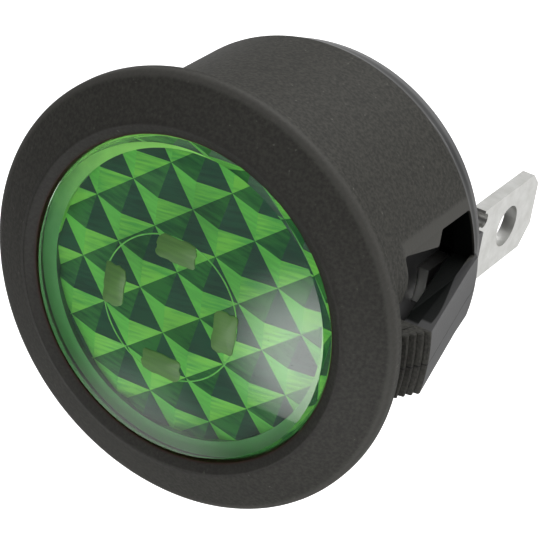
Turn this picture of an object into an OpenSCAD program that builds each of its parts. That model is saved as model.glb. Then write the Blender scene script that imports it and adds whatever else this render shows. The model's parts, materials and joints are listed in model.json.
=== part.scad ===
// Round snap-in panel pilot light: a moulded black housing with two sprung legs,
// a domed prismatic lens, a neon lamp in a holder and two 4.8 mm blade terminals.
// The lens faces -Y, the legs and terminals lie along X, and the origin is the
// centre of the flange's rear face, which seats on the panel.

/* [Bezel] */
// Outer diameter of the flange
flange_d = 25.9; // [25:0.5:32]
// Thickness of the flange at its rim
rim_t = 0.75; // [0.7:0.05:1.2]
// Radius of the rim's front edge
rim_round = 0.5; // [0.2:0.05:0.6]
// Height of the raised face's inner edge over the panel
face_h = 1.9; // [1.5:0.1:2.6]
// Width of the sloping ring between the face and the lens
recess_w = 0.65; // [0.3:0.05:1]
// Depth of that ring at the lens
recess_depth = 0.3; // [0.1:0.05:0.5]

/* [Lens] */
// Diameter of the lens
lens_d = 19.1; // [17:0.1:19.5]
// Height of the lens' edge over the panel
lens_edge_h = 1.8; // [1.5:0.1:2.4]
// Rise of the dome over its edge
dome_h = 0.95; // [0.5:0.05:1.6]
// Thickness of the plate behind the dome's edge, down to the prisms' pits
plate_t = 1.8; // [1.4:0.1:2.2]
// Distance between neighbouring prisms
prism_pitch = 2.75; // [2:0.05:4]
// Depth of the prisms' pits
prism_h = 0.8; // [0.4:0.05:1.2]
// Angle of the prism rows about the lens' axis
prism_turn = 40; // [0:1:90]
// Wall of the lens' skirt
skirt_t = 0.8; // [0.6:0.1:1.2]
// Length of the skirt behind the plate
skirt_l = 1.8; // [1.5:0.1:3]
// Running clearance of the lens in its bore
lens_gap = 0.05; // [0.05:0.01:0.2]
// Radius of the ring of the four pads on the dome
pad_ring_r = 3.8; // [2.5:0.1:5]
// Size of a pad along and across the ring
pad_size = [2.1, 1.15]; // [0.5:0.05:3]
// Height of the pads over the dome
pad_h = 0.1; // [0.05:0.01:0.3]

/* [Body] */
// Outer diameter of the body
body_d = 22.2; // [20:0.1:22.4]
// Length of the body behind the panel
body_l = 14; // [13:0.5:20]
// Wall of the body
body_wall = 1.3; // [1:0.1:1.6]
// Thickness of the closed rear wall
rear_wall = 1.6; // [1.2:0.1:2.5]
// Length of the taper at the rear
taper_l = 2.1; // [1:0.1:3]
// How far the taper draws the rear edge in
taper_in = 0.75; // [0.3:0.05:1.2]
// Width of the ribs that stop the lens
stop_rib_w = 1.2; // [0.8:0.1:2]

/* [Snap legs] */
// Width of a leg
leg_w = 3.9; // [3:0.1:5]
// Thickness of a leg at its root
leg_t = 1.3; // [0.9:0.1:1.6]
// Thickness of the leg's outer skin, which is wider than the web beneath it
leg_skin = 0.45; // [0.3:0.05:0.7]
// How far the skin stands out over the web on each side
leg_lip = 0.35; // [0.2:0.05:0.6]
// Radius of the leg's highest point from the axis
crest_r = 13.35; // [12:0.05:14]
// Distance of that point from the panel
crest_y = 2.6; // [2.2:0.1:4]
// Number of grip ribs down to the tip
grip_ribs = 4; // [2:1:5]
// Pitch of the grip ribs along the axis
grip_pitch = 0.42; // [0.3:0.02:0.5]
// Step of each grip rib towards the axis
grip_drop = 0.24; // [0.1:0.02:0.35]
// Depth of the groove between two grip ribs
grip_groove = 0.16; // [0.05:0.01:0.25]
// Free gap between a leg and the body
leg_gap = 0.5; // [0.3:0.05:0.8]
// Half height of the window round a leg
window_half = 4.6; // [4:0.1:5]
// Start of the window behind the panel
window_y = 4.3; // [3.5:0.1:5]
// Height of the low front part of the window's edge
window_low = 3.9; // [3.6:0.1:4.2]
// Where the window's edge steps up, as distance from the panel
window_step_y = 7.9; // [6:0.1:9]
// Length of that step
window_step_l = 0.7; // [0.4:0.1:1.2]
// Corner radius at the window's front
window_round = 1.4; // [0.5:0.1:1.6]

/* [Terminals] */
// Width of a blade
blade_w = 4.8; // [4.6:0.1:5.2]
// Thickness of the sheet
blade_t = 0.8; // [0.5:0.05:0.9]
// Distance of the blades' outer faces from the axis
blade_x = 9.25; // [8.5:0.05:9.3]
// Length of a blade behind its shoulders
blade_l = 7.3; // [6.3:0.1:8]
// Distance of the shoulders from the rear wall
shoulder_gap = 2.4; // [1.5:0.1:3]
// Width of the neck through the wall
neck_w = 3; // [2.6:0.1:3.4]
// Radius of the relief at a shoulder
relief_r = 0.45; // [0.3:0.05:0.6]
// Chamfers at a blade's end, upper and lower
blade_chamfer = [0.85, 1.2]; // [0.3:0.05:1.4]
// Radius of the blade's hole
hole_r = 1.3; // [0.7:0.05:1.4]
// Distance of the hole from the blade's end
hole_from_end = 3.7; // [2.5:0.1:4.2]
// Length of the solder tail inside the housing
tail_l = 2.6; // [2.2:0.1:4]
// Clearance of the neck in its slot
slot_gap = 0.05; // [0.03:0.01:0.15]
// Height of the guard rib outside each blade
guard_h = 0.9; // [0.5:0.1:1.6]
// Thickness of the guard rib
guard_t = 0.5; // [0.4:0.05:0.6]

/* [Lamp and holder] */
// Diameter of the lamp's bulb
bulb_d = 4; // [3.5:0.1:4.5]
// Distance of the bulb's foot from the holder's base
bulb_foot = 0.85; // [0.8:0.05:1.2]
// Wall of the glass
glass_t = 0.4; // [0.3:0.05:0.5]
// Diameter of an electrode
electrode_d = 0.6; // [0.4:0.05:0.8]
// Distance between the electrodes' axes
electrode_gap = 1.3; // [1.1:0.1:1.6]
// Diameter of the lead wires
lead_d = 0.5; // [0.4:0.05:0.6]
// Outer diameter of the holder's tube
tube_d = 7.8; // [6.5:0.1:9]
// Wall of the holder's tube
tube_wall = 0.9; // [0.7:0.1:1.2]
// Thickness of the holder's base
base_t = 1.2; // [1:0.1:1.6]
// Wall of the sleeve that keeps stray light off the windows
sleeve_t = 0.8; // [0.6:0.1:1]
// Clearance round the holder's base
base_gap = 0.1; // [0.05:0.05:0.3]
// Distance from the tube's rim to the prisms
tube_gap = 0.4; // [0.3:0.1:1]
// Diameter of the resistor's body
resistor_d = 1.9; // [1.6:0.1:2.4]
// Radius of a solder bead at the terminal
solder_r = 0.9; // [0.6:0.1:1]
// Height of a solder bead
solder_l = 0.7; // [0.4:0.05:0.7]

/* [Hidden] */
$fn = 96;
// Overrun of a cut past the face it opens, and the small overlap of joined pieces
over = 1;
eps = 0.01;
sides = [0, 180];

// Housing
body_r = body_d / 2;
bore_r = body_r - body_wall;
lens_r = lens_d / 2;
lens_bore_r = lens_r + lens_gap;
rim_r = flange_d / 2;
face_r = lens_bore_r + recess_w;
rear_in = body_l - rear_wall;
taper_y = body_l - taper_l;
rear_edge = 0.25;
// The taper steepens at this share of its length and depth
taper_break = [0.6, 0.35];
// Chamfer from the lens' bore to the wider bore of the body
bore_step = 0.2;
stop_rib_angles = [45, 90, 135];
stop_rib_root = 0.3;

// Lens: the plate's rear face at the pits, the prisms' crests and the skirt's end
plate_y = plate_t - lens_edge_h;
prism_y = plate_y + prism_h;
skirt_y = plate_y + skirt_l;
skirt_in_r = lens_r - skirt_t;
dome_r = (lens_r * lens_r + dome_h * dome_h) / (2 * dome_h);
dome_c = dome_r - lens_edge_h - dome_h;
dome_steps = 16;
prism_margin = 0.3;
prism_zone_r = skirt_in_r - prism_margin;
pad_reach = pad_ring_r + pad_size[1];

// Snap legs
leg_half = leg_w / 2;
slot_half = leg_half + leg_gap;
tip_y = crest_y - grip_ribs * grip_pitch;
tip_r = crest_r - grip_ribs * grip_drop;
tip_back = 0.35;
leg_in_r = body_r - leg_t;
leg_root_rise = 0.22;
// The ramp bends here, before the taper, and stands this far off the body
ramp_bend = [2, 0.6];
crest_t = leg_t + ramp_bend[1];
// Each grip rib is a flat land, a rounded nose and a groove, as shares of its pitch
land = 0.35;
nose = 0.02;
groove_at = 0.75;
window_in_x = sqrt(bore_r * bore_r - window_half * window_half) - over / 4;

// Terminals
shoulder_y = body_l + shoulder_gap;
blade_end = shoulder_y + blade_l;
tail_y = rear_in - tail_l;
blade_in_x = blade_x - blade_t;
blade_mid = blade_x - blade_t / 2;
tail_inset = 0.4;
tail_half = neck_w / 2 - tail_inset;
relief_at = 0.6;
guard_gap = 0.2;
guard_inset = 0.45;
guard_w = blade_w - 2 * guard_inset;

// Lamp and holder
tube_r = tube_d / 2;
tube_in_r = tube_r - tube_wall;
base_y = rear_in - base_t;
tube_front = prism_y + tube_gap;
base_r = skirt_in_r - base_gap;
sleeve_in_r = base_r - sleeve_t;
bulb_r = bulb_d / 2;
bulb_inset = 0.8;
bulb_y = tube_front + bulb_inset;
bulb_end = base_y - bulb_foot;
foot_t = 1.4;
// The bulb's rounded front from its pip outwards, as [radius, distance] in bulb radii
bulb_nose = [[0, -0.45], [0.18, -0.38], [0.62, -0.15], [0.92, 0.12], [1, 0.45]];
electrode_x = electrode_gap / 2;
electrode_inset = 2.5;
electrode_front = bulb_y + electrode_inset;
lead_r = lead_d / 2;
lead_clear = 0.15;
lead_rise = 0.2;
lead_slot = lead_d + 2 * lead_clear;
// The lead wires leave the bulb's foot and turn outwards above the holder's base
wire_y = bulb_end + lead_rise + lead_r;
resistor_gap = 0.2;
resistor_x = tube_r + resistor_gap;
resistor_end_gap = 0.1;
resistor_l = blade_in_x - solder_l - resistor_end_gap - resistor_x;
resistor_r = resistor_d / 2;
// The resistor's caps are fuller than its middle: shares of the radius, and lengths
cap_share = [0.84, 0.88];
cap_l = [0.25, 0.9, 1.1];

// Turns a profile of [radius, y] points round the object's axis
module turned(points, fn = $fn) {
    rotate([-90, 0, 0])
        rotate_extrude($fn = fn) polygon(points);
}

// A straight round bar along the object's axis
module bar_y(r, from_y, to_y, fn = 24) {
    translate([0, from_y, 0]) rotate([-90, 0, 0])
        cylinder(r = r, h = to_y - from_y, $fn = fn);
}

// A box given by its centre in x and z and its range in y
module block_y(x, z, w, h, from_y, to_y) {
    translate([x - w / 2, from_y, z - h / 2]) cube([w, to_y - from_y, h]);
}

// A plate that is flat in x, with its outline drawn in y and z
module sheet_x(x, t) {
    translate([x, 0, 0]) mirror([1, 0, 0]) rotate([0, -90, 0]) mirror([1, 0, 0]) rotate([0, 0, 90])
        linear_extrude(height = t) children();
}

// ---- Housing ----

// Bezel, body tube and closed rear wall as one turned shell
rim_arc = [for (a = [90 : -15 : 0])
    [rim_r - rim_round * (1 - cos(a)), rim_round * (1 - sin(a)) - rim_t]];
module shell() {
    bore = [[0, rear_in], [bore_r, rear_in], [bore_r, skirt_y + 2 * bore_step + bore_r - lens_bore_r],
            [lens_bore_r, skirt_y + bore_step], [lens_bore_r, recess_depth - face_h]];
    taper = [[body_r, taper_y], [body_r - taper_in * taper_break[1], taper_y + taper_l * taper_break[0]],
             [body_r - taper_in, body_l - rear_edge], [body_r - taper_in - rear_edge, body_l]];
    turned(concat(bore, [[face_r, -face_h]], rim_arc, [[rim_r, 0], [body_r, 0]], taper, [[0, body_l]]));
}

// Ribs inside the body that the lens' skirt stands on
module stop_ribs() {
    for (s = sides, a = stop_rib_angles)
        rotate([0, s - a, 0])
            translate([skirt_in_r, skirt_y, -stop_rib_w / 2])
                cube([bore_r - skirt_in_r + stop_rib_root, rear_in - skirt_y + eps, stop_rib_w]);
}

// Upper half of the opening beside a leg in y and z: a window with a stepped edge and a
// flared mouth where it narrows to the slot beside the leg's tip
module window_outline() {
    mouth_y = window_y - window_round;
    polygon([[tip_y - leg_gap, 0], [tip_y - leg_gap, slot_half], [mouth_y, slot_half],
             [window_y, slot_half + window_round], [window_y, window_half],
             [window_step_y, window_low], [window_step_y + window_step_l, window_half],
             [taper_y, window_half], [taper_y, 0]]);
}
module window_mouth() {
    translate([window_y - window_round, slot_half + window_round])
        circle(r = window_round, $fn = 48);
}
module leg_window() {
    sheet_x(window_in_x, body_r - window_in_x + over)
        for (s = [0, 1])
            mirror([0, s])
                difference() {
                    window_outline();
                    window_mouth();
                }
}

// Side outline of a leg: root, ramp, crest and stepped grip, as [y, radius]
function grip_points(y, r) = [
    [y, r],
    [y - grip_pitch * land, r + nose],
    [y - grip_pitch * groove_at, r - grip_drop - grip_groove]];
leg_outer = concat(
    [[rear_in, body_r - taper_in * taper_break[1]], [taper_y, body_r + leg_root_rise],
     [taper_y - ramp_bend[0], body_r + ramp_bend[1]]],
    [for (i = [0 : grip_ribs - 1]) each grip_points(crest_y - i * grip_pitch, crest_r - i * grip_drop)]);
module leg_solid(points, w) {
    intersection() {
        turned([for (p = points) [p[1], p[0]]], 120);
        block_y(crest_r, 0, 2 * crest_r, w, 0, body_l);
    }
}
module leg() {
    // Skin, web and toothed tip
    leg_solid(concat(leg_outer, [[tip_y, tip_r - nose], [tip_y, tip_r - leg_skin - grip_groove],
        [crest_y, crest_r - crest_t / 2], [taper_y - ramp_bend[0], body_r + ramp_bend[1] - leg_skin],
        [taper_y, body_r + leg_root_rise - leg_skin], [rear_in, leg_in_r]]), leg_w);
    leg_solid(concat(leg_outer, [[tip_y, tip_r - nose], [tip_y, tip_r - leg_t],
        [crest_y, crest_r - crest_t], [taper_y - ramp_bend[0] / 2, leg_in_r], [rear_in, leg_in_r]]),
        leg_w - 2 * leg_lip);
    leg_solid([[crest_y, crest_r - crest_t / 2], [tip_y, tip_r - leg_skin], [tip_y, tip_r - leg_t],
        [crest_y, crest_r - crest_t]], leg_w);
}

// Low rib outside a blade and the slot that the terminal's neck passes
module terminal_guard() {
    block_y(blade_x + guard_gap + guard_t / 2, 0, guard_t, guard_w, body_l - rear_edge - eps,
            body_l + guard_h);
}
module terminal_slot() {
    block_y(blade_mid, 0, blade_t + 2 * slot_gap, neck_w + 2 * slot_gap, rear_in - over, body_l + over);
}

module housing() {
    color([0.26, 0.25, 0.22])
        difference() {
            union() {
                difference() {
                    union() {
                        shell();
                        stop_ribs();
                    }
                    for (s = sides) rotate([0, s, 0]) leg_window();
                }
                for (s = sides) rotate([0, s, 0]) {
                    leg();
                    terminal_guard();
                }
            }
            for (s = sides) rotate([0, s, 0]) terminal_slot();
        }
}

// ---- Lens ----

// A row of parallel V ridges on the plate's rear face, drawn in x and y
module ridges() {
    n = ceil(prism_zone_r / prism_pitch) + 1;
    end = (n + 0.5) * prism_pitch;
    back = plate_y - plate_t / 2;
    crests = [for (i = [-n : n]) each [[i * prism_pitch, prism_y], [(i + 0.5) * prism_pitch, plate_y]]];
    linear_extrude(height = 2 * end, center = true)
        polygon(concat([[-end, plate_y]], crests, [[end, back], [-end, back]]));
}

// Square pits like sunk pyramids: two rows of ridges that cross and join
module prisms() {
    for (row = [[0, 0], [90, prism_pitch / 2]])
        intersection() {
            bar_y(prism_zone_r, plate_y - plate_t / 3, prism_y + eps, 64);
            rotate([0, row[0] - prism_turn, 0]) translate([row[1], 0, 0]) ridges();
        }
}

// The dome's front at a radius
function dome_y(r) = dome_c - sqrt(dome_r * dome_r - r * r);

// Dome, plate and skirt as one turned solid
module lens_body() {
    dome = [for (i = [0 : dome_steps]) let (r = lens_r * i / dome_steps) [r, dome_y(r)]];
    turned(concat(dome, [[lens_r, skirt_y], [skirt_in_r, skirt_y], [skirt_in_r, plate_y], [0, plate_y]]));
}

// Four pads that stand a little proud of the dome, on a ring about the axis
module pads() {
    cap = [for (i = [0 : 2]) let (r = pad_reach * i / 2) [r, dome_y(r) - pad_h]];
    for (a = [0 : 90 : 270])
        rotate([0, -a, 0])
            intersection() {
                block_y(pad_ring_r, 0, pad_size[1], pad_size[0], dome_y(0) - over, -lens_edge_h);
                turned(concat(cap, [[pad_reach, -lens_edge_h], [0, -lens_edge_h]]));
            }
}

module lens() {
    color([0.25, 0.6, 0.35, 0.6]) {
        lens_body();
        prisms();
        pads();
    }
}

// ---- Lamp holder ----

// Base with the lamp's tube in the middle and a sleeve round the outside
module lamp_holder() {
    color([0.16, 0.16, 0.15])
        difference() {
            bar_y(base_r, tube_front, rear_in, 96);
            difference() {
                bar_y(sleeve_in_r, tube_front - over, base_y, 96);
                bar_y(tube_r, tube_front - 2 * over, base_y + over, 64);
            }
            bar_y(tube_in_r, tube_front - over, base_y, 64);
            // Notches for the terminals' tails and their solder beads
            for (s = [-1, 1])
                block_y(s * blade_x, 0, 2 * (blade_t + solder_l + base_gap),
                        2 * (tail_half + base_gap), tail_y - base_gap, rear_in + over);
            // Side slots of the tube for the lead wires
            block_y(0, 0, tube_d + tube_wall, lead_slot, wire_y - lead_r - base_gap, base_y);
            // Cradle for the resistor
            translate([resistor_x - base_gap, wire_y, 0]) rotate([0, 90, 0])
                cylinder(r = resistor_r + base_gap, h = resistor_l + 2 * base_gap, $fn = 48);
        }
}

// ---- Neon lamp ----

// Glass envelope with a solid foot, its rounded nose towards the lens
module lamp_bulb() {
    inner_r = bulb_r - glass_t;
    color([0.9, 0.95, 0.9, 0.4])
        difference() {
            turned(concat([for (p = bulb_nose) [bulb_r * p[0], bulb_y + bulb_r * p[1]]],
                [[bulb_r, bulb_end], [0, bulb_end]]), 48);
            turned([[0, bulb_y + glass_t], [inner_r / 2, bulb_y + glass_t], [inner_r, bulb_y + bulb_r / 2],
                    [inner_r, bulb_end - foot_t], [0, bulb_end - foot_t]], 48);
            for (s = [-1, 1])
                translate([s * electrode_x, 0, 0])
                    bar_y(electrode_d / 2, bulb_end - foot_t - eps, bulb_end + over);
        }
}

// An electrode inside the bulb, with its stem through the glass foot
module electrode(side) {
    color([0.62, 0.62, 0.6])
        translate([side * electrode_x, 0, 0])
            bar_y(electrode_d / 2, electrode_front, bulb_end);
}
module electrode_left() { electrode(-1); }
module electrode_right() { electrode(1); }

// ---- Leads and resistor ----

// Wire along x at the height of the tube's side slots
module wire_x(from_x, to_x) {
    translate([from_x, wire_y, 0]) rotate([0, 90, 0])
        cylinder(r = lead_r, h = to_x - from_x, $fn = 24);
}

// Lead from the left electrode to the left terminal
module lamp_lead() {
    color([0.8, 0.8, 0.78]) {
        wire_x(-blade_in_x, -electrode_x + lead_r);
        translate([-electrode_x, 0, 0]) bar_y(lead_r, bulb_end, wire_y);
    }
}

module resistor() {
    half = [[0, 0], [resistor_r * cap_share[0], 0], [resistor_r, cap_l[0]], [resistor_r, cap_l[1]],
            [resistor_r * cap_share[1], cap_l[2]]];
    color([0.72, 0.6, 0.42])
        translate([resistor_x, wire_y, 0]) rotate([0, 90, 0])
            rotate_extrude($fn = 48)
                polygon(concat(half, [for (i = [4 : -1 : 0]) [half[i][0], resistor_l - half[i][1]]]));
}

module resistor_lead_lamp() {
    color([0.8, 0.8, 0.78]) {
        wire_x(electrode_x - lead_r, resistor_x);
        translate([electrode_x, 0, 0]) bar_y(lead_r, bulb_end, wire_y);
    }
}

module resistor_lead_terminal() {
    color([0.8, 0.8, 0.78])
        wire_x(resistor_x + resistor_l, blade_in_x);
}

// ---- Terminals ----

// Outline of a terminal in y and z: blade, shoulders with reliefs, neck and tail
module terminal_outline() {
    half = blade_w / 2;
    upper = blade_chamfer[0];
    lower = blade_chamfer[1];
    difference() {
        union() {
            polygon([[shoulder_y, -half], [blade_end - lower, -half], [blade_end, lower - half],
                     [blade_end, half - upper], [blade_end - upper, half], [shoulder_y, half]]);
            translate([rear_in, -neck_w / 2]) square([shoulder_y - rear_in + eps, neck_w]);
            translate([tail_y, -tail_half]) square([tail_l + eps, 2 * tail_half]);
        }
        for (s = [-1, 1])
            translate([shoulder_y, s * (neck_w / 2 + relief_r * relief_at)]) circle(r = relief_r, $fn = 32);
        translate([blade_end - hole_from_end, 0]) circle(r = hole_r, $fn = 64);
    }
}
module terminal(turn) {
    color([0.8, 0.8, 0.78])
        rotate([0, turn, 0])
            sheet_x(blade_in_x, blade_t) terminal_outline();
}
module terminal_left() { terminal(180); }
module terminal_right() { terminal(0); }

// Solder bead that joins a lead to a terminal's tail
module solder(side) {
    color([0.7, 0.7, 0.7])
        translate([side * blade_in_x, wire_y, 0]) rotate([0, -90 * side, 0])
            difference() {
                cylinder(r1 = solder_r, r2 = solder_r / 2, h = solder_l, $fn = 32);
                translate([0, 0, -over]) cylinder(r = lead_r, h = solder_l + 2 * over, $fn = 24);
            }
}
module solder_left() { solder(-1); }
module solder_right() { solder(1); }

housing();
lens();
lamp_holder();
lamp_bulb();
electrode_left();
electrode_right();
terminal_left();
terminal_right();
lamp_lead();
resistor();
resistor_lead_lamp();
resistor_lead_terminal();
solder_left();
solder_right();
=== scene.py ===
"""Panel pilot light, dressed round its CAD frame.

Black snap-in housing, green prismatic lens and tinned blades.
"""
import json
import math

import bmesh
import bpy
from mathutils import Matrix, Vector


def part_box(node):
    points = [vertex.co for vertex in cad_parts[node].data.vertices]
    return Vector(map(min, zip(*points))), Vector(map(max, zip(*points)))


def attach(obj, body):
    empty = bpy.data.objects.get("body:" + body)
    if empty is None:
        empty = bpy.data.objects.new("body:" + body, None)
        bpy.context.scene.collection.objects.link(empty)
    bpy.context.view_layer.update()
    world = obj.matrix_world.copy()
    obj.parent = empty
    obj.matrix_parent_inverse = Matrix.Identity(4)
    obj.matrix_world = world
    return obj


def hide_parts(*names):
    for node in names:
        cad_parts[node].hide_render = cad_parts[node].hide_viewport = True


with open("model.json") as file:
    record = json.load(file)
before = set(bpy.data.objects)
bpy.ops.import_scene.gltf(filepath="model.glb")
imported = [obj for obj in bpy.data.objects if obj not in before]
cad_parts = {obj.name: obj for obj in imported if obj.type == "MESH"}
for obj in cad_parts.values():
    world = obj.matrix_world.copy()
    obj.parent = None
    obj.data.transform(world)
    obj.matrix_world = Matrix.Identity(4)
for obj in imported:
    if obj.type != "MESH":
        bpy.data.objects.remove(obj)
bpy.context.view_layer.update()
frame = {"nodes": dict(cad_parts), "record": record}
NODES = frame["nodes"]
MM = 0.001

# ---- Sizes in millimetres, taken from the frame where it holds them ----


def side(node, corner, axis):
    """One side of a node's box in millimetres."""
    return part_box(node)[corner][axis] / MM


HIGH = 1
X, Y, Z = 0, 1, 2
rim_r = side("housing", HIGH, Z)
lens_r = side("lens", HIGH, Z)
rear_wall = 1.6
body_l = side("lamp_holder", HIGH, Y) + rear_wall
crest_r = side("housing", HIGH, X)
skirt_y = side("lens", HIGH, Y)
blade_x = side("terminal_right", HIGH, X)
body_r = 11.1
bore_r = 9.8
rim_t = 0.75
rim_round = 0.5
face_h = 1.9
recess_w = 0.65
recess_depth = 0.3
lens_gap = 0.05
taper_l = 2.1
taper_in = 0.75
leg_half = 1.95
leg_t = 1.3
leg_skin = 0.45
leg_lip = 0.35
leg_root_rise = 0.22
ramp_bend = (2, 0.6)
crest_t = leg_t + ramp_bend[1]
leg_gap = 0.5
crest_y = 2.6
grip_ribs = 4
grip_pitch = 0.42
grip_drop = 0.24
grip_groove = 0.16
window_half = 4.6
window_y = 4.3
window_round = 1.4
window_low = 3.9
window_step_y = 7.9
window_step_l = 0.7
guard_h = 0.9
guard_half = 1.95
lens_edge_h = 1.8
dome_h = 0.95
plate_t = 1.8
pad_r = 3.6
prism_pitch = 2.75
prism_h = 0.8
prism_turn = 40
skirt_t = 0.8
taper_y = body_l - taper_l
rear_in = body_l - rear_wall
lens_bore_r = lens_r + lens_gap
plate_y = plate_t - lens_edge_h
dome_r = (lens_r ** 2 + dome_h ** 2) / (2 * dome_h)
ring_r = 4.3
ring_wire_r = 0.04

# ---- Camera ----

camera_azimuth, camera_elevation, camera_roll = 27.35, 29.10, 8.98
camera_aim = (1.79, 5.0, 0.03)
camera_distance = 140.45
camera_lens, camera_sensor = 166.67, 36


def make_camera():
    azimuth, elevation = math.radians(camera_azimuth), math.radians(camera_elevation)
    aim = Vector(camera_aim) * MM
    back = Vector((math.sin(azimuth) * math.cos(elevation),
                   -math.cos(azimuth) * math.cos(elevation), math.sin(elevation)))
    data = bpy.data.cameras.new("camera")
    data.lens, data.sensor_width = camera_lens, camera_sensor
    data.clip_start, data.clip_end = 0.005, 10
    camera = bpy.data.objects.new("camera", data)
    bpy.context.scene.collection.objects.link(camera)
    camera.rotation_mode = "QUATERNION"
    camera.location = aim + back * camera_distance * MM
    turn = (-back).to_track_quat("-Z", "Y")
    camera.rotation_quaternion = turn @ Matrix.Rotation(math.radians(camera_roll), 4, "Z").to_quaternion()
    bpy.context.scene.camera = camera


make_camera()

# ---- Mesh helpers ----


def add_object(name, mesh):
    piece = bpy.data.objects.new(name, mesh)
    bpy.context.scene.collection.objects.link(piece)
    return piece


def mesh_object(name, points, faces):
    """An object from points in millimetres."""
    mesh = bpy.data.meshes.new(name)
    mesh.from_pydata([Vector(p) * MM for p in points], [], faces)
    mesh.validate()
    return add_object(name, mesh)


def rounded(outline, steps=6):
    """Replaces each corner [a, b, radius] of a closed outline by an arc of that radius."""
    result = []
    count = len(outline)
    for i, corner in enumerate(outline):
        radius = corner[2] if len(corner) > 2 else 0
        here = Vector(corner[:2])
        to_last = Vector(outline[i - 1][:2]) - here
        to_next = Vector(outline[(i + 1) % count][:2]) - here
        if radius <= 0:
            result.append(tuple(here))
            continue
        half = to_last.angle(to_next) / 2
        reach = min(radius / math.tan(half), 0.49 * to_last.length, 0.49 * to_next.length)
        start, end = here + to_last.normalized() * reach, here + to_next.normalized() * reach
        for k in range(steps + 1):
            t = k / steps
            result.append(tuple(start * (1 - t) ** 2 + here * 2 * t * (1 - t) + end * t * t))
    return result


def turned(name, outline, segments=192):
    """Turns a closed outline of (radius, y) round the Y axis; radius 0 ends it on the axis."""
    bm = bmesh.new()
    on_axis = [p[0] < 1e-6 for p in outline]
    centre = {i: bm.verts.new((0, p[1] * MM, 0)) for i, p in enumerate(outline) if on_axis[i]}
    rings = []
    for s in range(segments):
        a = 2 * math.pi * s / segments
        rings.append([centre[i] if on_axis[i] else
                      bm.verts.new((p[0] * MM * math.cos(a), p[1] * MM, p[0] * MM * math.sin(a)))
                      for i, p in enumerate(outline)])
    for s in range(segments):
        one, two = rings[s], rings[(s + 1) % segments]
        for i in range(len(outline)):
            j = (i + 1) % len(outline)
            corners = []
            for v in (one[i], one[j], two[j], two[i]):
                if v not in corners:
                    corners.append(v)
            if len(corners) > 2:
                bm.faces.new(corners)
    bmesh.ops.recalc_face_normals(bm, faces=bm.faces)
    mesh = bpy.data.meshes.new(name)
    bm.to_mesh(mesh)
    bm.free()
    return add_object(name, mesh)


def slab_x(name, outline, low, high):
    """A plate between two values of x, with its outline in (y, z)."""
    count = len(outline)
    points = [(low, p[0], p[1]) for p in outline] + [(high, p[0], p[1]) for p in outline]
    faces = [tuple(range(count)), tuple(range(2 * count - 1, count - 1, -1))]
    faces += [(i, i + count, (i + 1) % count + count, (i + 1) % count) for i in range(count)]
    piece = mesh_object(name, points, faces)
    fix_normals(piece)
    return piece


def fix_normals(piece):
    bm = bmesh.new()
    bm.from_mesh(piece.data)
    bmesh.ops.recalc_face_normals(bm, faces=bm.faces)
    bm.to_mesh(piece.data)
    bm.free()


def apply_modifiers(piece):
    graph = bpy.context.evaluated_depsgraph_get()
    mesh = bpy.data.meshes.new_from_object(piece.evaluated_get(graph))
    piece.modifiers.clear()
    piece.data = mesh


def combine(piece, others, operation):
    """Boolean of piece with the others, which are used up."""
    for other in others:
        boolean = piece.modifiers.new("boolean", "BOOLEAN")
        boolean.operation, boolean.solver, boolean.object = operation, "EXACT", other
    bpy.context.view_layer.update()
    apply_modifiers(piece)
    for other in others:
        bpy.data.objects.remove(other)


def half_turned(piece):
    """A copy turned half round about the Y axis."""
    copy = add_object(piece.name + "_turned", piece.data.copy())
    copy.data.transform(Matrix.Rotation(math.pi, 4, "Y"))
    return copy


def extras_and_turned(pieces):
    return pieces + [half_turned(piece) for piece in pieces]


def soften(piece, degrees=28):
    """Smooth shading with creases kept above an angle."""
    for polygon in piece.data.polygons:
        polygon.use_smooth = True
    piece.data.set_sharp_from_angle(angle=math.radians(degrees))


# ---- Materials ----


def new_material(name, colour, roughness, metallic=0.0):
    material = bpy.data.materials.new(name)
    material.use_nodes = True
    shader = material.node_tree.nodes["Principled BSDF"]
    shader.inputs["Base Color"].default_value = (*colour, 1)
    shader.inputs["Roughness"].default_value = roughness
    shader.inputs["Metallic"].default_value = metallic
    return material, material.node_tree, shader


def object_noise(tree, scale, detail=3.0, rough=0.6):
    where = tree.nodes.new("ShaderNodeTexCoord")
    noise = tree.nodes.new("ShaderNodeTexNoise")
    noise.inputs["Scale"].default_value = scale
    noise.inputs["Detail"].default_value = detail
    noise.inputs["Roughness"].default_value = rough
    tree.links.new(where.outputs["Object"], noise.inputs["Vector"])
    return noise.outputs["Fac"]


def ramp(tree, value, low, high, dark, light):
    node = tree.nodes.new("ShaderNodeValToRGB")
    node.color_ramp.elements[0].position = low
    node.color_ramp.elements[1].position = high
    node.color_ramp.elements[0].color = (*dark, 1)
    node.color_ramp.elements[1].color = (*light, 1)
    tree.links.new(value, node.inputs["Fac"])
    return node.outputs["Color"]


def bump(tree, shader, height, strength, distance):
    node = tree.nodes.new("ShaderNodeBump")
    node.inputs["Strength"].default_value = strength
    node.inputs["Distance"].default_value = distance
    tree.links.new(height, node.inputs["Height"])
    tree.links.new(node.outputs["Normal"], shader.inputs["Normal"])


def place_parts(tree):
    """The object's x, y and z in millimetres as three sockets."""
    where = tree.nodes.new("ShaderNodeTexCoord")
    scaled = tree.nodes.new("ShaderNodeVectorMath")
    scaled.operation = "SCALE"
    scaled.inputs["Scale"].default_value = 1 / MM
    tree.links.new(where.outputs["Object"], scaled.inputs[0])
    parts = tree.nodes.new("ShaderNodeSeparateXYZ")
    tree.links.new(scaled.outputs["Vector"], parts.inputs["Vector"])
    return parts.outputs


def maths(tree, operation, one, two=None):
    """A Math node between sockets or numbers."""
    node = tree.nodes.new("ShaderNodeMath")
    node.operation = operation
    for index, value in enumerate((one, two)):
        if isinstance(value, (int, float)):
            node.inputs[index].default_value = value
        elif value is not None:
            tree.links.new(value, node.inputs[index])
    return node.outputs["Value"]


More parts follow.
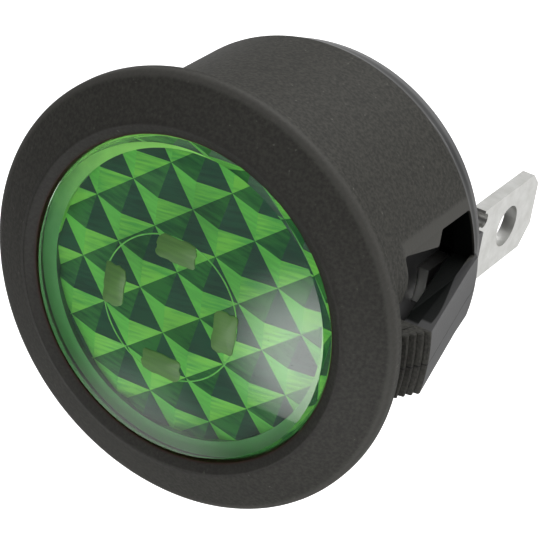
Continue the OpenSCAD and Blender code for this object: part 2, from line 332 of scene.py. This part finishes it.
def rises(tree, value, low, high):
    """0 below low and 1 above high, smooth between; falls where low is the larger."""
    node = tree.nodes.new("ShaderNodeMapRange")
    node.interpolation_type = "SMOOTHSTEP"
    tree.links.new(value, node.inputs["Value"])
    flip = low > high
    node.inputs["From Min"].default_value = min(low, high)
    node.inputs["From Max"].default_value = max(low, high)
    node.inputs["To Min"].default_value = 1 if flip else 0
    node.inputs["To Max"].default_value = 0 if flip else 1
    return node.outputs["Result"]


def times(tree, *masks):
    """Product of sockets or numbers."""
    result = masks[0]
    for mask in masks[1:]:
        result = maths(tree, "MULTIPLY", result, mask)
    return result


def between(tree, value, zone):
    """1 inside a zone (start, full, full, end) and 0 outside it, smooth between."""
    return times(tree, rises(tree, value, zone[0], zone[1]), rises(tree, value, zone[3], zone[2]))


def mix_colour(tree, mask, one, two):
    node = tree.nodes.new("ShaderNodeMix")
    node.data_type = "RGBA"
    tree.links.new(mask, node.inputs["Factor"])
    for name, value in (("A", one), ("B", two)):
        socket = [i for i in node.inputs if i.name == name and i.type == "RGBA"][0]
        if isinstance(value, tuple):
            socket.default_value = (*value, 1)
        else:
            tree.links.new(value, socket)
    return [o for o in node.outputs if o.type == "RGBA"][0]


# Where the housing's surface changes: (start, full, full, end) or (start, full) in millimetres
front_y = (-0.3, -0.9)
lip_and_shade_r = (lens_r + 1.05, lens_r + 0.65)
seam_r = (lens_r + 0.22, lens_r + 0.06)
highlight_edge_r, highlight_edge_y = (rim_r - 0.5, rim_r - 0.2), (-0.2, -0.5)
satin_taper_y = (taper_y - 0.05, taper_y + 0.1)
satin_leg_r, satin_leg_y = (body_r + 0.03, body_r + 0.1), (2.5, 2.7)
band_up, band_across, band_y = (2.6, 2.7, 5.1, 5.4), (8, 8.5), (4.0, 4.6, 11.8, 12.2)
leg_shade_depth, leg_shade_up = (leg_skin - 0.05, leg_skin + 0.03), (leg_half + 0.25, leg_half + 0.1)
leg_shade_across, leg_shade_y = (7, 7.5), (3.2, 3.5, taper_y - 0.3, taper_y)
inside_shade_r, inside_shade_y = (body_r - 0.04, body_r - 0.2), (0.5, 1.0, 12.8, 13.3)
line_up, line_r, line_y = (0.075, 0.03), (body_r - 0.1, body_r + 0.05), (0.2, 0.6)
scar_x, scar_y, scar_z = 7.6, taper_y - 0.2, 7.9
scar_r, scar_squash = (1.9, 1.4), 3.2


def length_of(tree, *parts):
    """Square root of the sum of the squares."""
    total = maths(tree, "MULTIPLY", parts[0], parts[0])
    for part in parts[1:]:
        total = maths(tree, "ADD", maths(tree, "MULTIPLY", part, part), total)
    return maths(tree, "SQRT", total)


def housing_material():
    """Spark-eroded black plastic, smoother on the taper, the leg ramps and round the windows."""
    material, tree, shader = new_material("housing_plastic", (0.055, 0.053, 0.046), 0.5)
    x, y, z = place_parts(tree)
    across, up = maths(tree, "ABSOLUTE", x), maths(tree, "ABSOLUTE", z)
    radius = length_of(tree, x, z)
    grain = object_noise(tree, 5200, 2, 0.55)
    specks = object_noise(tree, 2600, 4, 0.7)
    base = ramp(tree, grain, 0.36, 0.66, (0.025, 0.0245, 0.0205), (0.054, 0.0525, 0.0440))
    light = times(tree, rises(tree, specks, 0.68, 0.74), rises(tree, grain, 0.5, 0.56))
    base = mix_colour(tree, light, base, (0.16, 0.16, 0.14))

    front = rises(tree, y, *front_y)
    # Painted shade: the whole front face is darkened, standing in for the lesser light that falls on it.
    base = mix_colour(tree, times(tree, front, front, 0.4), base, (0.020, 0.0192, 0.0168))
    # Round the lens: a real raised lip, drawn by the bump further down, and a darker band there that is
    # painted shade.
    lip_and_shade = times(tree, front, rises(tree, radius, *lip_and_shade_r))
    base = mix_colour(tree, times(tree, lip_and_shade, 0.45), base, (0.015, 0.0135, 0.0120))
    seam = times(tree, front, rises(tree, radius, *seam_r))
    base = mix_colour(tree, seam, base, (0.030, 0.009, 0.006))
    # Painted highlight: a lighter tone all round the flange's outer edge.
    painted_edge_highlight = times(tree, rises(tree, radius, *highlight_edge_r), rises(tree, y, *highlight_edge_y))
    base = mix_colour(tree, times(tree, painted_edge_highlight, 0.6), base, (0.082, 0.080, 0.072))

    leg_ramp = times(tree, rises(tree, radius, *satin_leg_r), rises(tree, y, *satin_leg_y))
    satin_and_sheen = maths(tree, "MAXIMUM", rises(tree, y, *satin_taper_y), leg_ramp)
    band_and_sheen = times(tree, between(tree, up, band_up), rises(tree, across, *band_across),
                 between(tree, y, band_y))
    smooth = maths(tree, "MAXIMUM", satin_and_sheen, band_and_sheen)
    # The taper, the leg ramps and the band round the windows are smoother, which is real; their lighter
    # tone is painted sheen.
    base = mix_colour(tree, satin_and_sheen, base, (0.052, 0.052, 0.053))
    # Painted shade: the lower side of the smooth zones is a little darker.
    lower_shade = times(tree, satin_and_sheen, rises(tree, z, 0.1, -0.2), rises(tree, radius, body_r - 0.2, body_r))
    base = mix_colour(tree, lower_shade, base, (0.050, 0.050, 0.0515))
    base = mix_colour(tree, band_and_sheen, base, (0.058, 0.056, 0.048))

    # Painted shade: the deep part of each leg's side face and the housing's inner faces, seen through the
    # windows, are coloured near black.
    leg_fall = times(tree, rises(tree, y, crest_y, taper_y), crest_r - body_r - 0.3)
    depth = maths(tree, "SUBTRACT", maths(tree, "SUBTRACT", crest_r, leg_fall), radius)
    leg_side_shade = times(tree, rises(tree, depth, *leg_shade_depth), rises(tree, up, *leg_shade_up),
                     rises(tree, across, *leg_shade_across), between(tree, y, leg_shade_y))
    inside_shade = times(tree, rises(tree, radius, *inside_shade_r), between(tree, y, inside_shade_y))
    painted_inner_shade = maths(tree, "MAXIMUM", inside_shade, leg_side_shade)
    base = mix_colour(tree, painted_inner_shade, base, (0.004, 0.005, 0.0045))
    line = times(tree, rises(tree, up, *line_up), rises(tree, radius, *line_r), rises(tree, y, *line_y))
    base = mix_colour(tree, line, base, (0.012, 0.012, 0.011))
    tree.links.new(base, shader.inputs["Base Color"])
    # The specular level is lowered where this inner shade is painted.
    sheen = maths(tree, "SUBTRACT", 0.3, times(tree, painted_inner_shade, 0.2))
    tree.links.new(sheen, shader.inputs["Specular IOR Level"])
    rough = maths(tree, "SUBTRACT", 0.58, times(tree, smooth, 0.28))
    tree.links.new(rough, shader.inputs["Roughness"])

    from_scar = length_of(tree, maths(tree, "SUBTRACT", z, scar_z), maths(tree, "SUBTRACT", x, scar_x),
                          times(tree, maths(tree, "SUBTRACT", y, scar_y), scar_squash))
    scar = times(tree, rises(tree, from_scar, *scar_r), object_noise(tree, 1500, 3))
    height = times(tree, grain, maths(tree, "SUBTRACT", 1.0, times(tree, smooth, 0.75)))
    height = maths(tree, "ADD", height, times(tree, scar, 2.5))
    height = maths(tree, "SUBTRACT", height, times(tree, line, 2.0))
    height = maths(tree, "ADD", height, times(tree, lip_and_shade, 2.0))
    bump(tree, shader, height, 0.7, 0.00003)
    return material


def lens_material():
    """Clear green plastic that lets lamp light through to the prisms behind it."""
    material, tree, shader = new_material("green_lens", (0.80, 0.97, 0.80), 0.03)
    shader.inputs["Transmission Weight"].default_value = 1.0
    shader.inputs["IOR"].default_value = 1.5
    fine = object_noise(tree, 1200, 4)
    bump(tree, shader, fine, 0.02, 0.00002)
    light_path = tree.nodes.new("ShaderNodeLightPath")
    clear = tree.nodes.new("ShaderNodeBsdfTransparent")
    clear.inputs["Color"].default_value = (0.80, 0.95, 0.80, 1)
    mix = tree.nodes.new("ShaderNodeMixShader")
    tree.links.new(light_path.outputs["Is Shadow Ray"], mix.inputs["Fac"])
    tree.links.new(shader.outputs["BSDF"], mix.inputs[1])
    tree.links.new(clear.outputs["BSDF"], mix.inputs[2])
    tree.links.new(mix.outputs["Shader"], tree.nodes["Material Output"].inputs["Surface"])
    return material


def facet_material(name, light, dark, roughness, turn):
    """Moulded prism face: fine tool strokes along the rows over a slow change of tone."""
    material, tree, shader = new_material(name, light, roughness)
    where = tree.nodes.new("ShaderNodeTexCoord")
    mapping = tree.nodes.new("ShaderNodeMapping")
    mapping.inputs["Rotation"].default_value = (0, math.radians(turn), 0)
    mapping.inputs["Scale"].default_value = (600, 600, 5200)
    tree.links.new(where.outputs["Object"], mapping.inputs["Vector"])
    strokes = tree.nodes.new("ShaderNodeTexNoise")
    strokes.inputs["Scale"].default_value = 1
    strokes.inputs["Detail"].default_value = 4
    tree.links.new(mapping.outputs["Vector"], strokes.inputs["Vector"])
    slow = object_noise(tree, 330, 1, 0.4)
    blend = tree.nodes.new("ShaderNodeMix")
    blend.inputs["Factor"].default_value = 0.42
    tree.links.new(strokes.outputs["Fac"], blend.inputs["A"])
    tree.links.new(slow, blend.inputs["B"])
    colour = ramp(tree, blend.outputs["Result"], 0.38, 0.57, dark, light)
    tree.links.new(colour, shader.inputs["Base Color"])
    bump(tree, shader, strokes.outputs["Fac"], 0.1, 0.00002)
    return material


def rim_material():
    """The plain band round the prisms, with painted light at the upper right and painted shade at the
    lower left.
    """
    material, tree, shader = new_material("prism_rim_painted_light", (0.09, 0.26, 0.07), 0.4)
    x, _, z = place_parts(tree)
    # lean runs from the lower left to the upper right; the colour mix along it is painted light and shade,
    # with a random wobble.
    lean = maths(tree, "ADD", times(tree, x, 0.35), times(tree, z, 0.94))
    lean = maths(tree, "ADD", lean, times(tree, object_noise(tree, 700, 3), 4))
    colour = mix_colour(tree, rises(tree, lean, -1, 9), (0.045, 0.260, 0.055), (0.350, 0.76, 0.150))
    tree.links.new(colour, shader.inputs["Base Color"])
    return material


def tin_material():
    material, tree, shader = new_material("tinned_brass", (0.78, 0.78, 0.76), 0.38, 1.0)
    cloud = object_noise(tree, 900, 5)
    colour = ramp(tree, cloud, 0.3, 0.75, (0.66, 0.66, 0.63), (0.84, 0.84, 0.82))
    tree.links.new(colour, shader.inputs["Base Color"])
    bump(tree, shader, cloud, 0.15, 0.00003)
    return material


def plain_material(name, colour, roughness, metallic=0.0):
    """One colour with a slight change of tone and a fine grain, for the inner pieces."""
    material, tree, shader = new_material(name, colour, roughness, metallic)
    grain = object_noise(tree, 3000)
    cloud = object_noise(tree, 700, 3)
    dark, light = tuple(0.86 * c for c in colour), tuple(min(1, 1.1 * c) for c in colour)
    tone = ramp(tree, cloud, 0.3, 0.7, dark, light)
    tree.links.new(tone, shader.inputs["Base Color"])
    bump(tree, shader, grain, 0.2, 0.00002)
    return material


def glass_material():
    material, _, shader = new_material("lamp_glass", (0.9, 0.95, 0.92), 0.02)
    shader.inputs["Transmission Weight"].default_value = 1.0
    return material


LEFT, LOW, TOP, RIGHT, RIM = range(5)
along_rows, across_rows = prism_turn, prism_turn - 90
# Each prism direction has its own tone: painted light on the left and lower faces, painted shade on the
# top and right faces, though all are one green plastic.
FACETS = {
    LEFT: facet_material("prism_left_painted_light", (0.180, 0.60, 0.110), (0.130, 0.48, 0.095), 0.35, along_rows),
    LOW: facet_material("prism_low_painted_light", (0.240, 0.62, 0.100), (0.095, 0.40, 0.085), 0.35, across_rows),
    TOP: facet_material("prism_top_painted_shade", (0.042, 0.195, 0.058), (0.012, 0.085, 0.041), 0.35, across_rows),
    RIGHT: facet_material("prism_right_painted_shade", (0.009, 0.074, 0.046), (0.003, 0.038, 0.031), 0.35, along_rows),
    RIM: rim_material(),
}

PAD = facet_material("lens_pad", (0.088, 0.215, 0.044), (0.066, 0.170, 0.036), 0.45, 0)

MATERIALS = {
    "housing_plastic": housing_material(),
    "green_lens": lens_material(),
    "holder_plastic": plain_material("holder_plastic", (0.03, 0.03, 0.03), 0.4),
    "lamp_glass": glass_material(),
    "electrode_metal": plain_material("electrode_metal", (0.5, 0.5, 0.48), 0.35, 1.0),
    "tinned_brass": tin_material(),
    "tinned_wire": plain_material("tinned_wire", (0.7, 0.7, 0.68), 0.3, 1.0),
    "resistor_body": plain_material("resistor_body", (0.62, 0.47, 0.28), 0.25),
    "solder": plain_material("solder", (0.6, 0.6, 0.6), 0.2, 1.0),
}


def dress(piece, slot):
    piece.data.materials.clear()
    piece.data.materials.append(MATERIALS[slot])


def finish_piece(piece, node, slot):
    dress(piece, slot)
    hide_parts(node)
    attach(piece, "root")


# ---- Housing ----


def housing_shell():
    face_r = lens_bore_r + recess_w
    outline = rounded([
        (0, rear_in), (bore_r, rear_in, 0.3), (bore_r, skirt_y + 0.6), (lens_bore_r, skirt_y + 0.2),
        (lens_bore_r, -face_h + recess_depth, 0.08), (face_r, -face_h, 0.22),
        (rim_r, -rim_t + 0.05, rim_round), (rim_r, 0, 0.08), (body_r, 0, 0.06), (body_r, taper_y, 0.5),
        (body_r - taper_in, body_l, 0.35), (0, body_l)])
    return turned("housing_shell", outline, 256)


def window_cutter():
    slot_half = leg_half + leg_gap
    slot_y = crest_y - grip_ribs * grip_pitch - leg_gap
    mouth_y = window_y - window_round
    flare = [(mouth_y + window_round * math.sin(math.radians(9 * i)),
              slot_half + window_round * (1 - math.cos(math.radians(9 * i))), 0) for i in range(11)]
    half = [(slot_y, slot_half, 0.2)] + flare + [
        (window_y, window_half, 0.25), (window_step_y, window_low, 0.3),
        (window_step_y + window_step_l, window_half, 0.3), (taper_y, window_half, 0.25)]
    outline = rounded(half + [(p[0], -p[1], p[2]) for p in reversed(half)])
    return slab_x("window_cutter", outline, bore_r - 1.2, body_r + 1.0)


def leg_outer():
    """Root, ramp, crest and stepped grip of a leg's outer face, as (y, radius)."""
    points = [(rear_in, body_r - taper_in * 0.35), (taper_y, body_r + leg_root_rise),
              (taper_y - ramp_bend[0], body_r + ramp_bend[1])]
    for i in range(grip_ribs):
        y, r = crest_y - i * grip_pitch, crest_r - i * grip_drop
        groove = r - grip_drop - grip_groove + 0.02
        points += [(y + 0.04, r - 0.04), (y - 0.04, r - 0.02), (y - grip_pitch * 0.3, r - 0.005),
                   (y - grip_pitch * 0.5, r - 0.05), (y - grip_pitch * 0.7, groove),
                   (y - grip_pitch * 0.85, groove)]
    return points


def leg_solid(name, outline, half):
    """Sweeps a side outline across a leg's width on arcs about the axis, with eased edges."""
    ease = 0.06
    steps = 14
    middle = Vector((sum(p[0] for p in outline), sum(p[1] for p in outline))) / len(outline)
    places = [(-half, ease)] + [(-half + ease + (2 * half - 2 * ease) * k / steps, 0)
                                for k in range(steps + 1)] + [(half, ease)]
    points = []
    for z, inset in places:
        for y, r in outline:
            inward = (middle - Vector((y, r))).normalized() * inset
            radius = r + inward.y
            points.append((math.sqrt(radius * radius - z * z), y + inward.x, z))
    count = len(outline)
    faces = [tuple(range(count))[::-1], tuple(range((len(places) - 1) * count, len(places) * count))]
    for k in range(len(places) - 1):
        for i in range(count):
            j = (i + 1) % count
            faces.append((k * count + i, k * count + j, (k + 1) * count + j, (k + 1) * count + i))
    piece = mesh_object(name, points, faces)
    fix_normals(piece)
    return piece


def leg_parts():
    """Outer skin, narrower web beneath it and the full-width toothed tip."""
    outer = leg_outer()
    tip_y, tip_r = crest_y - grip_ribs * grip_pitch, crest_r - grip_ribs * grip_drop
    bend_y = taper_y - ramp_bend[0]
    skin = outer + [(tip_y, tip_r - 0.05), (tip_y, tip_r - leg_skin - grip_groove),
                    (crest_y, crest_r - crest_t / 2), (bend_y, body_r + ramp_bend[1] - leg_skin),
                    (taper_y, body_r + leg_root_rise - leg_skin), (rear_in, body_r - leg_t)]
    web = outer + [(tip_y, tip_r - 0.05), (tip_y, tip_r - leg_t), (crest_y, crest_r - crest_t),
                   (taper_y - ramp_bend[0] / 2, body_r - leg_t), (rear_in, body_r - leg_t)]
    tip = [(crest_y, crest_r - crest_t / 2), (tip_y, tip_r - leg_skin), (tip_y, tip_r - leg_t),
           (crest_y, crest_r - crest_t)]
    return [leg_solid("leg_skin", skin, leg_half), leg_solid("leg_web", web, leg_half - leg_lip),
            leg_solid("leg_tip", tip, leg_half)]


def make_housing():
    shell = housing_shell()
    cutter = window_cutter()
    combine(shell, [cutter, half_turned(cutter)], "DIFFERENCE")
    guard = slab_x("guard", rounded([(body_l - 0.3, -guard_half), (body_l + guard_h, -guard_half, 0.15),
                                     (body_l + guard_h, guard_half, 0.15), (body_l - 0.3, guard_half)]),
                   blade_x + 0.2, blade_x + 0.7)
    extras = leg_parts() + [guard]
    combine(shell, extras_and_turned(extras), "UNION")
    shell.name = "housing_moulding"
    soften(shell, 25)
    finish_piece(shell, "housing", "housing_plastic")


make_housing()

# ---- Lens ----


def ridges(name, shift, degrees):
    """A row of V ridges along z that covers the lens, cut to a disc and turned about the Y axis."""
    count = math.ceil(lens_r / prism_pitch) + 1
    profile = []
    for i in range(-count, count + 1):
        profile += [(i * prism_pitch + shift, plate_y + prism_h),
                    ((i + 0.5) * prism_pitch + shift, plate_y)]
    profile += [(profile[-1][0], plate_y - plate_t / 2), (profile[0][0], plate_y - plate_t / 2)]
    length = (count + 1) * prism_pitch
    n = len(profile)
    points = [(p[0], p[1], -length) for p in profile] + [(p[0], p[1], length) for p in profile]
    faces = [tuple(range(n)), tuple(range(2 * n - 1, n - 1, -1))]
    faces += [(i, i + n, (i + 1) % n + n, (i + 1) % n) for i in range(n)]
    piece = mesh_object(name, points, faces)
    piece.data.transform(Matrix.Rotation(math.radians(-degrees), 4, "Y"))
    fix_normals(piece)
    zone = lens_r - skirt_t - 0.3
    disc = turned(name + "_disc", [(0, plate_y - plate_t / 3), (zone, plate_y - plate_t / 3),
                                   (zone, plate_y + prism_h + 0.1), (0, plate_y + prism_h + 0.1)], 96)
    combine(piece, [disc], "INTERSECT")
    return piece


def dome_y(radius):
    """Front of the dome at a radius."""
    return dome_r - lens_edge_h - dome_h - math.sqrt(dome_r ** 2 - radius ** 2)


def lens_glass():
    """Dome and skirt as one clear solid, filled down to the crests of the prisms."""
    steps = 32
    arc = [(lens_r * i / steps, dome_y(lens_r * i / steps)) for i in range(steps + 1)]
    rim = arc.pop()
    back = plate_y + prism_h + 0.1
    outline = arc + rounded([(rim[0], rim[1], 0.12), (lens_r, skirt_y), (lens_r - skirt_t, skirt_y),
                             (lens_r - skirt_t, back)]) + [(0, back)]
    return turned("lens_moulding", outline, 192)


def prism_plate():
    """The prisms' faces as seen through the dome, each face in the painted light or painted shade material
    of its direction.
    """
    zone = lens_r - 0.1
    plate = turned("lens_prisms", [(0, plate_y - 0.1), (zone, plate_y - 0.1),
                                   (zone, plate_y + prism_h + 0.05), (0, plate_y + prism_h + 0.05)], 96)
    combine(plate, [ridges("rows", 0, prism_turn), ridges("columns", prism_pitch / 2, prism_turn - 90)],
            "DIFFERENCE")
    for direction in sorted(FACETS):
        plate.data.materials.append(FACETS[direction])
    across = Vector((math.cos(math.radians(prism_turn)), 0, math.sin(math.radians(prism_turn))))
    along = Vector((-across.z, 0, across.x))
    for polygon in plate.data.polygons:
        u, v = polygon.normal.dot(across), polygon.normal.dot(along)
        flat = abs(polygon.normal.y) > 0.95
        if flat or max(abs(u), abs(v)) < 0.2:
            polygon.material_index = RIM
        elif abs(u) > abs(v):
            polygon.material_index = LEFT if u < 0 else RIGHT
        else:
            polygon.material_index = LOW if v < 0 else TOP
    return plate


def pad(turn, seed):
    """A low pad on the dome with a slightly ragged outline."""
    half_w, half_l, steps = 0.70, 1.24, 40
    ring = []
    for i in range(steps):
        a = 2 * math.pi * i / steps
        reach = (abs(math.cos(a)) ** 7 + abs(math.sin(a)) ** 7) ** (-1 / 7)
        ragged = (1 + 0.02 * math.sin(3 * a + seed) + 0.035 * math.sin(7 * a + 2 * seed)
                  + 0.02 * math.sin(13 * a))
        ring.append((pad_r + half_w * reach * math.cos(a) * ragged, half_l * reach * math.sin(a) * ragged))
    levels = ((1.0, 0.02), (1.0, -0.05), (0.93, -0.085))
    points = []
    for share, rise in levels:
        for px, pz in ring:
            x, z = pad_r + (px - pad_r) * share, pz * share
            points.append((x, dome_y(math.hypot(x, z)) + rise, z))
    points.append((pad_r, dome_y(pad_r) - 0.09, 0))
    last = len(points) - 1
    faces = []
    for k in range(len(levels) - 1):
        faces += [(k * steps + i, k * steps + (i + 1) % steps, (k + 1) * steps + (i + 1) % steps,
                   (k + 1) * steps + i) for i in range(steps)]
    top = (len(levels) - 1) * steps
    faces += [(top + i, top + (i + 1) % steps, last) for i in range(steps)]
    piece = mesh_object("lens_pad_" + str(turn), points, faces)
    fix_normals(piece)
    piece.data.transform(Matrix.Rotation(math.radians(-turn), 4, "Y"))
    soften(piece, 40)
    return piece


def witness_ring():
    """Fine circle left on the dome round the pads."""
    outline = [(ring_r + ring_wire_r * math.cos(a), dome_y(ring_r) + 0.01 + ring_wire_r * math.sin(a))
               for a in [math.pi * k / 4 for k in range(8)]]
    ring = turned("lens_ring", outline, 160)
    soften(ring, 60)
    return ring


def make_lens():
    glass = lens_glass()
    soften(glass, 35)
    finish_piece(glass, "lens", "green_lens")
    plate = prism_plate()
    trims = [pad(turn, seed) for turn, seed in ((0, 1), (90, 2.3), (180, 4), (270, 5.2))]
    ring = witness_ring()
    for piece in trims:
        piece.data.materials.append(PAD)
    # The ring takes the left prism faces' painted-light tone.
    ring.data.materials.append(FACETS[LEFT])
    for piece in trims + [plate, ring]:
        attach(piece, "root")


make_lens()

# ---- Inner parts and terminals keep their CAD solids ----

for entry in frame["record"]["subparts"]:
    node_name, slot_name = entry["node"], entry["material_slot"]
    if node_name in ("housing", "lens"):
        continue
    node_object = NODES[node_name]
    for index in range(len(node_object.material_slots)):
        node_object.material_slots[index].material = MATERIALS[slot_name]
    for polygon in node_object.data.polygons:
        polygon.use_smooth = True
    node_object.data.set_sharp_from_angle(angle=math.radians(30))

# ---- Floor, lamps and world ----


floor_half, floor_z = 2000, -80
mirror_white = 0.45
beside_x, behind_y = (0.015, 0.06), (0.0, 0.04)


def make_floor():
    """White to camera and transmission rays, pale behind and beside the object to mirror rays."""
    corners = [(-1, -1), (1, -1), (1, 1), (-1, 1)]
    floor = mesh_object("floor", [(floor_half * u, floor_half * v, floor_z) for u, v in corners],
                        [(0, 1, 2, 3)])
    material, tree, shader = new_material("floor", (0.35, 0.35, 0.35), 0.9)
    light_path = tree.nodes.new("ShaderNodeLightPath")
    pale = tree.nodes.new("ShaderNodeBsdfDiffuse")
    pale.inputs["Color"].default_value = (0.85, 0.85, 0.85, 1)
    white = tree.nodes.new("ShaderNodeEmission")
    white.inputs["Strength"].default_value = 0.85
    seen = tree.nodes.new("ShaderNodeAddShader")
    mix = tree.nodes.new("ShaderNodeMixShader")
    tree.links.new(pale.outputs["BSDF"], seen.inputs[0])
    tree.links.new(white.outputs["Emission"], seen.inputs[1])
    where = tree.nodes.new("ShaderNodeNewGeometry")
    parts = tree.nodes.new("ShaderNodeSeparateXYZ")
    tree.links.new(where.outputs["Position"], parts.inputs["Vector"])
    beside = rises(tree, maths(tree, "ABSOLUTE", parts.outputs["X"]), *beside_x)
    behind = rises(tree, parts.outputs["Y"], *behind_y)
    mirrored = times(tree, light_path.outputs["Is Glossy Ray"], behind, beside, mirror_white)
    straight = maths(tree, "MAXIMUM", light_path.outputs["Is Camera Ray"],
                     light_path.outputs["Is Transmission Ray"])
    white_seen = maths(tree, "MAXIMUM", straight, mirrored)
    tree.links.new(white_seen, mix.inputs["Fac"])
    tree.links.new(shader.outputs["BSDF"], mix.inputs[1])
    tree.links.new(seen.outputs["Shader"], mix.inputs[2])
    tree.links.new(mix.outputs["Shader"], tree.nodes["Material Output"].inputs["Surface"])
    floor.data.materials.append(material)


world_lean = (0.35, 0.45, 0.8)
world_dim, world_bright = 0.15, 0.65


def make_world():
    """White to the camera; to all else bright above and behind, dim in front and below."""
    world = bpy.data.worlds.new("world")
    bpy.context.scene.world = world
    world.use_nodes = True
    tree = world.node_tree
    background = tree.nodes["Background"]
    background.inputs["Color"].default_value = (1, 1, 1, 1)
    where = tree.nodes.new("ShaderNodeTexCoord")
    lean = tree.nodes.new("ShaderNodeVectorMath")
    lean.operation = "DOT_PRODUCT"
    lean.inputs[1].default_value = Vector(world_lean).normalized()
    tree.links.new(where.outputs["Generated"], lean.inputs[0])
    fade = tree.nodes.new("ShaderNodeMapRange")
    fade.inputs["From Min"].default_value = -0.7
    fade.inputs["From Max"].default_value = 0.8
    fade.inputs["To Min"].default_value = world_dim
    fade.inputs["To Max"].default_value = world_bright
    tree.links.new(lean.outputs["Value"], fade.inputs["Value"])
    light_path = tree.nodes.new("ShaderNodeLightPath")
    mix = tree.nodes.new("ShaderNodeMix")
    mix.inputs["B"].default_value = 1.0
    tree.links.new(fade.outputs["Result"], mix.inputs["A"])
    tree.links.new(light_path.outputs["Is Camera Ray"], mix.inputs["Factor"])
    tree.links.new(mix.outputs["Result"], background.inputs["Strength"])


def make_lamp(name, place, size, power, soft):
    """A square lamp aimed at the object; a soft one fades out from its centre."""
    data = bpy.data.lights.new(name, "AREA")
    data.shape, data.size, data.energy = "SQUARE", size, power
    lamp = bpy.data.objects.new(name, data)
    bpy.context.scene.collection.objects.link(lamp)
    lamp.location = place
    lamp.rotation_mode = "QUATERNION"
    lamp.rotation_quaternion = (-Vector(place)).to_track_quat("-Z", "Y")
    if not soft:
        return
    data.use_nodes = True
    tree = data.node_tree
    where = tree.nodes.new("ShaderNodeNewGeometry")
    reach = tree.nodes.new("ShaderNodeVectorMath")
    reach.operation = "DISTANCE"
    reach.inputs[1].default_value = place
    tree.links.new(where.outputs["Position"], reach.inputs[0])
    fade = tree.nodes.new("ShaderNodeMapRange")
    fade.interpolation_type = "SMOOTHSTEP"
    fade.inputs["From Min"].default_value = 0.12 * size
    fade.inputs["From Max"].default_value = 0.5 * size
    fade.inputs["To Min"].default_value = 1
    fade.inputs["To Max"].default_value = 0
    tree.links.new(reach.outputs["Value"], fade.inputs["Value"])
    tree.links.new(fade.outputs["Result"], tree.nodes["Emission"].inputs["Strength"])


# Name, place and size in metres, power in watts, soft or not
LAMPS = [
    ("key", (0.05, 0.20, 0.45), 0.30, 0.85, False),
    ("side", (0.40, 0.10, 0.12), 0.20, 0.25, False),
    ("front", (-0.15, -0.45, 0.20), 0.25, 0.15, False),
    ("low_right", (0.003, -0.100, -0.058), 0.078, 0.125, True),
    ("near_right", (0.060, -0.050, -0.060), 0.050, 0.050, True),
    ("low_left", (-0.036, -0.040, -0.076), 0.060, 0.016, True),
]

make_floor()
make_world()
for lamp_values in LAMPS:
    make_lamp(*lamp_values)

scene = bpy.context.scene
scene.view_settings.view_transform = "Standard"
